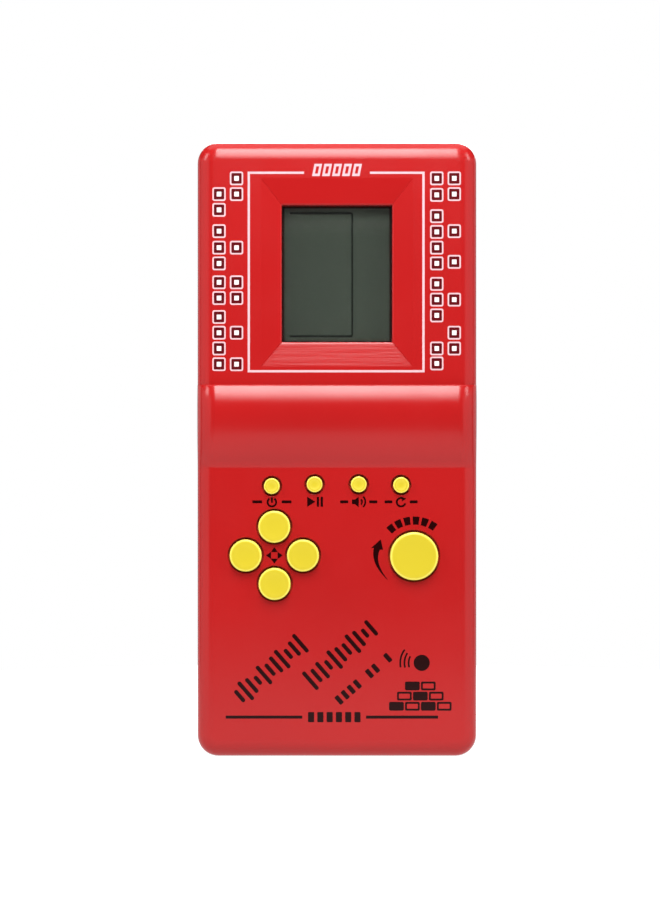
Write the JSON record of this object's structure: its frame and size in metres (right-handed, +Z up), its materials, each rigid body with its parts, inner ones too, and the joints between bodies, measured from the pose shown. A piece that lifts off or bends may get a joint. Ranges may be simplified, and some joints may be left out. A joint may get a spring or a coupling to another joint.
{
  "type": "handheld lcd game",
  "caption": "Handheld LCD block game: two-part plastic case with recessed display, sprung direction, rotate and function buttons, and a hinged battery door.",
  "frame": {"origin": "middle of the bottom end, on the surface the game stands on, centred in width and depth", "axes": "+Z up towards the display end, +X to the right as the player sees it, the face looks along -Y and the flat back faces +Y"},
  "size_m": [0.08, 0.027, 0.176],
  "materials": {
    "case_red": "glossy moulded red plastic",
    "button_yellow": "glossy moulded yellow plastic",
    "clear_window": "clear acrylic",
    "lcd_polariser": "grey-green film, satin",
    "lcd_glass": "thin polished glass",
    "reflector_foil": "dull silver film",
    "holder_plastic": "matt natural plastic",
    "foam": "open-cell foam",
    "zebra_rubber": "striped conductive rubber",
    "circuit_board": "phenolic paper board with copper tracks",
    "epoxy": "glossy black epoxy",
    "capacitor_sleeve": "shrink sleeve",
    "resistor_body": "lacquered",
    "silicone": "translucent grey silicone",
    "carbon_rubber": "matt conductive rubber",
    "brass": "bright brass",
    "piezo_ceramic": "silvered ceramic",
    "plated_steel": "nickel-plated",
    "cell_sleeve": "plain printed sleeve, with no marks",
    "red_insulation": "satin",
    "black_insulation": "satin",
    "white_ink": "pad-printed ink",
    "black_ink": "pad-printed ink"
  },
  "bodies": {
    "root": {"front_shell": "case_red", "rear_shell": "case_red", "display_window": "clear_window", "lcd_front_polariser": "lcd_polariser", "lcd_front_glass": "lcd_glass", "lcd_rear_glass": "lcd_glass", "lcd_reflector": "reflector_foil", "lcd_foam_pad": "foam", "zebra_connector": "zebra_rubber", "lcd_holder": "holder_plastic", "main_board": "circuit_board", "chip_blob": "epoxy", "supply_capacitor": "capacitor_sleeve", "resistor_1": "resistor_body", "resistor_2": "resistor_body", "direction_mat": "silicone", "function_mat": "silicone", "rotate_mat": "silicone", "buzzer_disc": "brass", "buzzer_ceramic": "piezo_ceramic", "buzzer_lead_red": "red_insulation", "buzzer_lead_black": "black_insulation", "contact_positive": "plated_steel", "contact_negative": "plated_steel", "contact_bridge": "plated_steel", "battery_1": "cell_sleeve", "battery_2": "cell_sleeve", "battery_lead_red": "red_insulation", "battery_lead_black": "black_insulation", "case_screw_top_left": "plated_steel", "case_screw_top_right": "plated_steel", "case_screw_middle_left": "plated_steel", "case_screw_middle_right": "plated_steel", "case_screw_bottom_left": "plated_steel", "case_screw_bottom_right": "plated_steel", "board_screw_left": "plated_steel", "board_screw_right": "plated_steel", "board_screw_top": "plated_steel"},
    "up_key": {"up_button": "button_yellow", "up_contact_pill": "carbon_rubber"},
    "left_key": {"left_button": "button_yellow", "left_contact_pill": "carbon_rubber"},
    "right_key": {"right_button": "button_yellow", "right_contact_pill": "carbon_rubber"},
    "down_key": {"down_button": "button_yellow", "down_contact_pill": "carbon_rubber"},
    "rotate_key": {"rotate_button": "button_yellow", "rotate_contact_pill": "carbon_rubber"},
    "power_key": {"power_button": "button_yellow", "power_contact_pill": "carbon_rubber"},
    "start_pause_key": {"start_pause_button": "button_yellow", "start_pause_contact_pill": "carbon_rubber"},
    "sound_key": {"sound_button": "button_yellow", "sound_contact_pill": "carbon_rubber"},
    "reset_key": {"reset_button": "button_yellow", "reset_contact_pill": "carbon_rubber"},
    "door": {"battery_door": "case_red"}
  },
  "joints": [
    {"name": "up_press", "type": "slide", "parent": "root", "child": "up_key", "axis": [0, 1, 0], "range_m": [0, 0.0012], "stiffness_N_per_m": 400, "springref_m": -0.0008, "deforming": ["direction_mat"]},
    {"name": "left_press", "type": "slide", "parent": "root", "child": "left_key", "axis": [0, 1, 0], "range_m": [0, 0.0012], "stiffness_N_per_m": 400, "springref_m": -0.0008, "deforming": ["direction_mat"]},
    {"name": "right_press", "type": "slide", "parent": "root", "child": "right_key", "axis": [0, 1, 0], "range_m": [0, 0.0012], "stiffness_N_per_m": 400, "springref_m": -0.0008, "deforming": ["direction_mat"]},
    {"name": "down_press", "type": "slide", "parent": "root", "child": "down_key", "axis": [0, 1, 0], "range_m": [0, 0.0012], "stiffness_N_per_m": 400, "springref_m": -0.0008, "deforming": ["direction_mat"]},
    {"name": "rotate_press", "type": "slide", "parent": "root", "child": "rotate_key", "axis": [0, 1, 0], "range_m": [0, 0.0012], "stiffness_N_per_m": 400, "springref_m": -0.0008, "deforming": ["rotate_mat"]},
    {"name": "power_press", "type": "slide", "parent": "root", "child": "power_key", "axis": [0, 1, 0], "range_m": [0, 0.001], "stiffness_N_per_m": 300, "springref_m": -0.0008, "deforming": ["function_mat"]},
    {"name": "start_pause_press", "type": "slide", "parent": "root", "child": "start_pause_key", "axis": [0, 1, 0], "range_m": [0, 0.001], "stiffness_N_per_m": 300, "springref_m": -0.0008, "deforming": ["function_mat"]},
    {"name": "sound_press", "type": "slide", "parent": "root", "child": "sound_key", "axis": [0, 1, 0], "range_m": [0, 0.001], "stiffness_N_per_m": 300, "springref_m": -0.0008, "deforming": ["function_mat"]},
    {"name": "reset_press", "type": "slide", "parent": "root", "child": "reset_key", "axis": [0, 1, 0], "range_m": [0, 0.001], "stiffness_N_per_m": 300, "springref_m": -0.0008, "deforming": ["function_mat"]},
    {"name": "battery_door_hinge", "type": "hinge", "parent": "root", "child": "door", "pos_m": [0, 0.0135, 0.1134], "axis": [1, 0, 0], "range_deg": [0, 65]}
  ]
}
